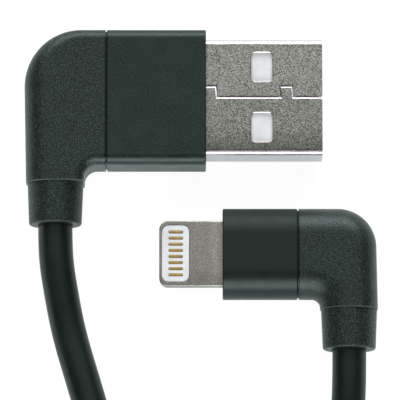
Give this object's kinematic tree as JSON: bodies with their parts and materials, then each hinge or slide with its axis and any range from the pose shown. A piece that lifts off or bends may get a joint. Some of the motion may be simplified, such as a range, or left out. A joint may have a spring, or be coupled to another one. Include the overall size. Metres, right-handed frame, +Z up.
{
  "type": "charging cable",
  "caption": "Charging cable with a flat computer plug and a small phone plug, each in a dark right-angle housing, joined by a round cord whose spare length is a tied coil.",
  "frame": {"origin": "on the surface that the cable lies on, under the middle of the box round the two plugs without the cord", "axes": "+X the way the flat plug points, -X the way the small plug points, +Z up, and both cords leave towards -Y"},
  "size_m": [0.0559, 0.1061, 0.0088],
  "materials": {
    "board_green": "lacquered",
    "capacitor_beige": "fired",
    "chip_black": "moulded",
    "contact_gilt": "gilt, satin",
    "cord_jacket": "smooth matte",
    "elbow_plastic": "fine spark texture",
    "ferrule_steel": "plain",
    "mould_plastic": "as moulded",
    "relief_rubber": "fine spark texture",
    "shell_nickel": "satin nickel with fine speckle",
    "shield_steel": "plain",
    "sleeve_plastic": "smooth satin",
    "tab_steel": "satin",
    "tie_fabric": "woven",
    "white_plastic": "smooth",
    "wire_black": "smooth",
    "wire_green": "smooth",
    "wire_red": "smooth",
    "wire_white": "smooth"
  },
  "bodies": {
    "root": {"cord_coil": "cord_jacket", "cord_phone_end": "cord_jacket", "cord_tie": "tie_fabric", "cord_usb_end": "cord_jacket", "phone_board": "board_green", "phone_capacitors": "capacitor_beige", "phone_chip": "chip_black", "phone_contact_block": "white_plastic", "phone_contacts_lower": "contact_gilt", "phone_contacts_upper": "contact_gilt", "phone_elbow": "elbow_plastic", "phone_ferrule": "ferrule_steel", "phone_inner_mould": "mould_plastic", "phone_jacket_end": "cord_jacket", "phone_shield": "shield_steel", "phone_sleeve": "sleeve_plastic", "phone_strain_relief": "relief_rubber", "phone_tab": "tab_steel", "phone_wire_black": "wire_black", "phone_wire_green": "wire_green", "phone_wire_red": "wire_red", "phone_wire_white": "wire_white", "usb_contact_1": "contact_gilt", "usb_contact_2": "contact_gilt", "usb_contact_3": "contact_gilt", "usb_contact_4": "contact_gilt", "usb_elbow": "elbow_plastic", "usb_ferrule": "ferrule_steel", "usb_inner_mould": "mould_plastic", "usb_insulator": "white_plastic", "usb_jacket_end": "cord_jacket", "usb_shell": "shell_nickel", "usb_sleeve": "sleeve_plastic", "usb_strain_relief": "relief_rubber", "usb_wire_black": "wire_black", "usb_wire_green": "wire_green", "usb_wire_red": "wire_red", "usb_wire_white": "wire_white"}
  },
  "joints": []
}
